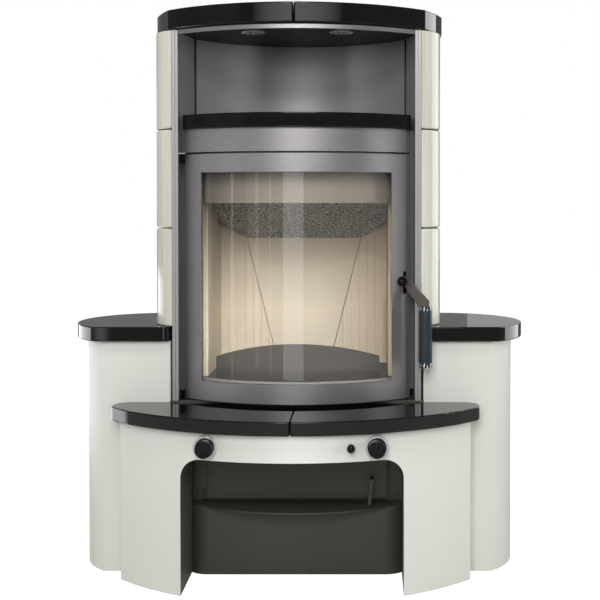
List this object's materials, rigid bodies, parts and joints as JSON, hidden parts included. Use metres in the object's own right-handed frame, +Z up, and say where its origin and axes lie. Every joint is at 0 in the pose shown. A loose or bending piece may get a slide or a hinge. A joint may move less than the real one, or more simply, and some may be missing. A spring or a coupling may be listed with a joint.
{
  "type": "wood stove",
  "caption": "Wood stove with a tiled tower, curved glass door, warming niche, stone shelves and a round-fronted bench over an ash compartment.",
  "frame": {"origin": "middle of the object's box on the floor", "axes": "+Z up, -Y out of the door towards the user, +X to the right as seen from the front"},
  "size_m": [1.044, 0.6, 1.27],
  "materials": {
    "granite": "polished black granite, finely speckled",
    "glaze": "cream-white glaze",
    "white": "white satin coat",
    "steel": "dark grey metallic satin",
    "black_steel": "matt black",
    "bare_steel": "bare sheet",
    "chrome": "polished",
    "cast": "dark cast iron",
    "lining": "cream vermiculite board",
    "brick": "firebrick",
    "filter": "dark foam ceramic",
    "glass": "clear ceramic glass",
    "rope": "woven rope seal",
    "grip": "dark blue-black sleeve",
    "knob": "black",
    "arm": "brushed arm"
  },
  "bodies": {
    "stove": {"top_plate_left": "granite", "top_plate_right": "granite", "niche_shelf": "granite", "side_shelf_left": "granite", "side_shelf_right": "granite", "bench_top_left": "granite", "bench_top_right": "granite", "tiles_left": "glaze", "tiles_right": "glaze", "bench_apron": "white", "side_wing_left": "white", "side_wing_right": "white", "front_posts": "steel", "niche_frame": "steel", "niche_liner": "steel", "niche_ceiling": "steel", "fascia_panel": "steel", "plinth": "steel", "bottom_plate": "steel", "ash_front_frame": "steel", "air_deflector": "steel", "front_frame": "steel", "lower_body": "black_steel", "deck_plate": "black_steel", "body_sides": "black_steel", "body_back": "black_steel", "levelling_feet": "black_steel", "firebox_shell": "black_steel", "ash_chute": "black_steel", "flue_spigot": "black_steel", "fresh_air_spigot": "black_steel", "ash_pan": "bare_steel", "hinge_pins": "bare_steel", "latch_keeper": "bare_steel", "niche_vent_rings": "chrome", "knob_bezels": "chrome", "log_guard": "cast", "hearth_casting": "cast", "grate_fixed": "cast", "lining_back_centre": "lining", "lining_back_sides": "lining", "lining_sides": "lining", "lining_floor": "brick", "ceramic_filter": "filter"},
    "door": {"door_frame": "steel", "door_glass": "glass", "glass_retainer": "black_steel", "door_seal": "rope", "retainer_screws": "black_steel", "handle_pivot": "black_steel"},
    "handle": {"handle_arm": "arm", "latch_hook": "bare_steel", "handle_grip": "grip", "handle_caps": "chrome"},
    "ash_door": {"ash_door": "steel"},
    "ash_lever": {"ash_lever": "bare_steel"},
    "air_knob_left": {"air_knob_left": "knob"},
    "air_knob_right": {"air_knob_right": "knob"},
    "shaker": {"shaker_rod": "knob", "grate_moving": "cast"}
  },
  "joints": [
    {"name": "door_hinge", "type": "hinge", "parent": "stove", "child": "door", "pos_m": [-0.2597, -0.058, 0.668], "axis": [0, 0, -1], "range_deg": [0, 100]},
    {"name": "handle_lift", "type": "hinge", "parent": "door", "child": "handle", "pos_m": [0.24, -0.06374, 0.658], "axis": [-0.8033, -0.5955, 0], "range_deg": [0, 35]},
    {"name": "ash_door_hinge", "type": "hinge", "parent": "stove", "child": "ash_door", "pos_m": [-0.212, -0.039, 0.222], "axis": [0, 0, -1], "range_deg": [0, 90]},
    {"name": "ash_lever_turn", "type": "hinge", "parent": "ash_door", "child": "ash_lever", "pos_m": [0.169, -0.05, 0.208], "axis": [0, 1, 0], "range_deg": [0, 80]},
    {"name": "air_left_turn", "type": "hinge", "parent": "stove", "child": "air_knob_left", "pos_m": [-0.18, -0.15, 0.324], "axis": [0, -1, 0], "range_deg": [0, 90]},
    {"name": "air_right_turn", "type": "hinge", "parent": "stove", "child": "air_knob_right", "pos_m": [0.18, -0.15, 0.324], "axis": [0, 1, 0], "range_deg": [0, 90]},
    {"name": "shaker_pull", "type": "slide", "parent": "stove", "child": "shaker", "axis": [0, -1, 0], "range_m": [0, 0.025]}
  ]
}
